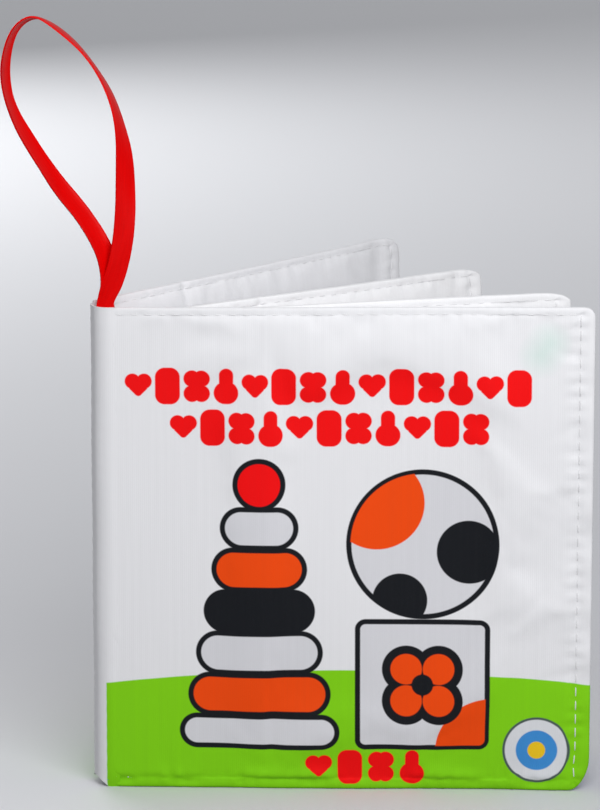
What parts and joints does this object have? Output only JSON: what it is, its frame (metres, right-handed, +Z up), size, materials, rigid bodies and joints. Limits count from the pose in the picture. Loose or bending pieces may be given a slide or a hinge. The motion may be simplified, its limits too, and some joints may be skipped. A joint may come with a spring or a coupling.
{
  "type": "cloth rattle book",
  "caption": "Soft cloth rattle book standing open: padded fabric leaves sewn together at the spine, a ribbon loop at its head, and a rattle inside the back cover.",
  "frame": {"origin": "foot of the front spine seam, on the axis about which the first page turns, at floor height", "axes": "+X along the front cover from the spine to its fore edge, +Y away from the reader who looks at the front cover, +Z up"},
  "size_m": [0.166, 0.1204, 0.22],
  "materials": {
    "cover_fabric": "matte",
    "page_fabric": "matte",
    "wadding": "matte",
    "thread": "matte",
    "red_thread": "matte",
    "satin_ribbon": "satin",
    "rattle_plastic": "gloss",
    "bead_plastic": "gloss"
  },
  "bodies": {
    "front_cover": {"front_cover_front_panel": "cover_fabric", "front_cover_back_panel": "cover_fabric", "front_cover_wadding": "wadding", "front_cover_needle_thread": "thread", "front_cover_bobbin_thread": "thread", "front_spine_seam": "cover_fabric", "ribbon_loop": "satin_ribbon", "ribbon_bartack": "red_thread"},
    "first_page": {"first_page_front_panel": "page_fabric", "first_page_back_panel": "page_fabric", "first_page_wadding": "wadding", "first_page_needle_thread": "thread", "first_page_bobbin_thread": "thread", "middle_spine_seam": "cover_fabric"},
    "second_page": {"second_page_front_panel": "page_fabric", "second_page_back_panel": "page_fabric", "second_page_wadding": "wadding", "second_page_needle_thread": "thread", "second_page_bobbin_thread": "thread", "back_spine_seam": "cover_fabric"},
    "back_cover": {"back_cover_front_panel": "cover_fabric", "back_cover_back_panel": "cover_fabric", "back_cover_wadding": "wadding", "back_cover_needle_thread": "thread", "back_cover_bobbin_thread": "thread", "rattle_case_front": "rattle_plastic", "rattle_case_back": "rattle_plastic"},
    "rattle_beads": {"rattle_bead_1": "bead_plastic", "rattle_bead_2": "bead_plastic", "rattle_bead_3": "bead_plastic", "rattle_bead_4": "bead_plastic", "rattle_bead_5": "bead_plastic", "rattle_bead_6": "bead_plastic", "rattle_bead_7": "bead_plastic"}
  },
  "joints": [
    {"name": "first_page_turn", "type": "hinge", "parent": "front_cover", "child": "first_page", "pos_m": [0, 0, 0], "axis": [0, 0, 1], "range_deg": [-10, 89]},
    {"name": "second_page_turn", "type": "hinge", "parent": "first_page", "child": "second_page", "pos_m": [-0.0006, 0.00222, 0], "axis": [0, 0, 1], "range_deg": [-18, 81]},
    {"name": "back_cover_turn", "type": "hinge", "parent": "second_page", "child": "back_cover", "pos_m": [-0.00201, 0.00403, 0], "axis": [0, 0, 1], "range_deg": [-7.5, 89.5]},
    {"name": "rattle_beads_shake", "type": "slide", "parent": "back_cover", "child": "rattle_beads", "axis": [0, 0, 1], "range_m": [0, 0.016]}
  ]
}
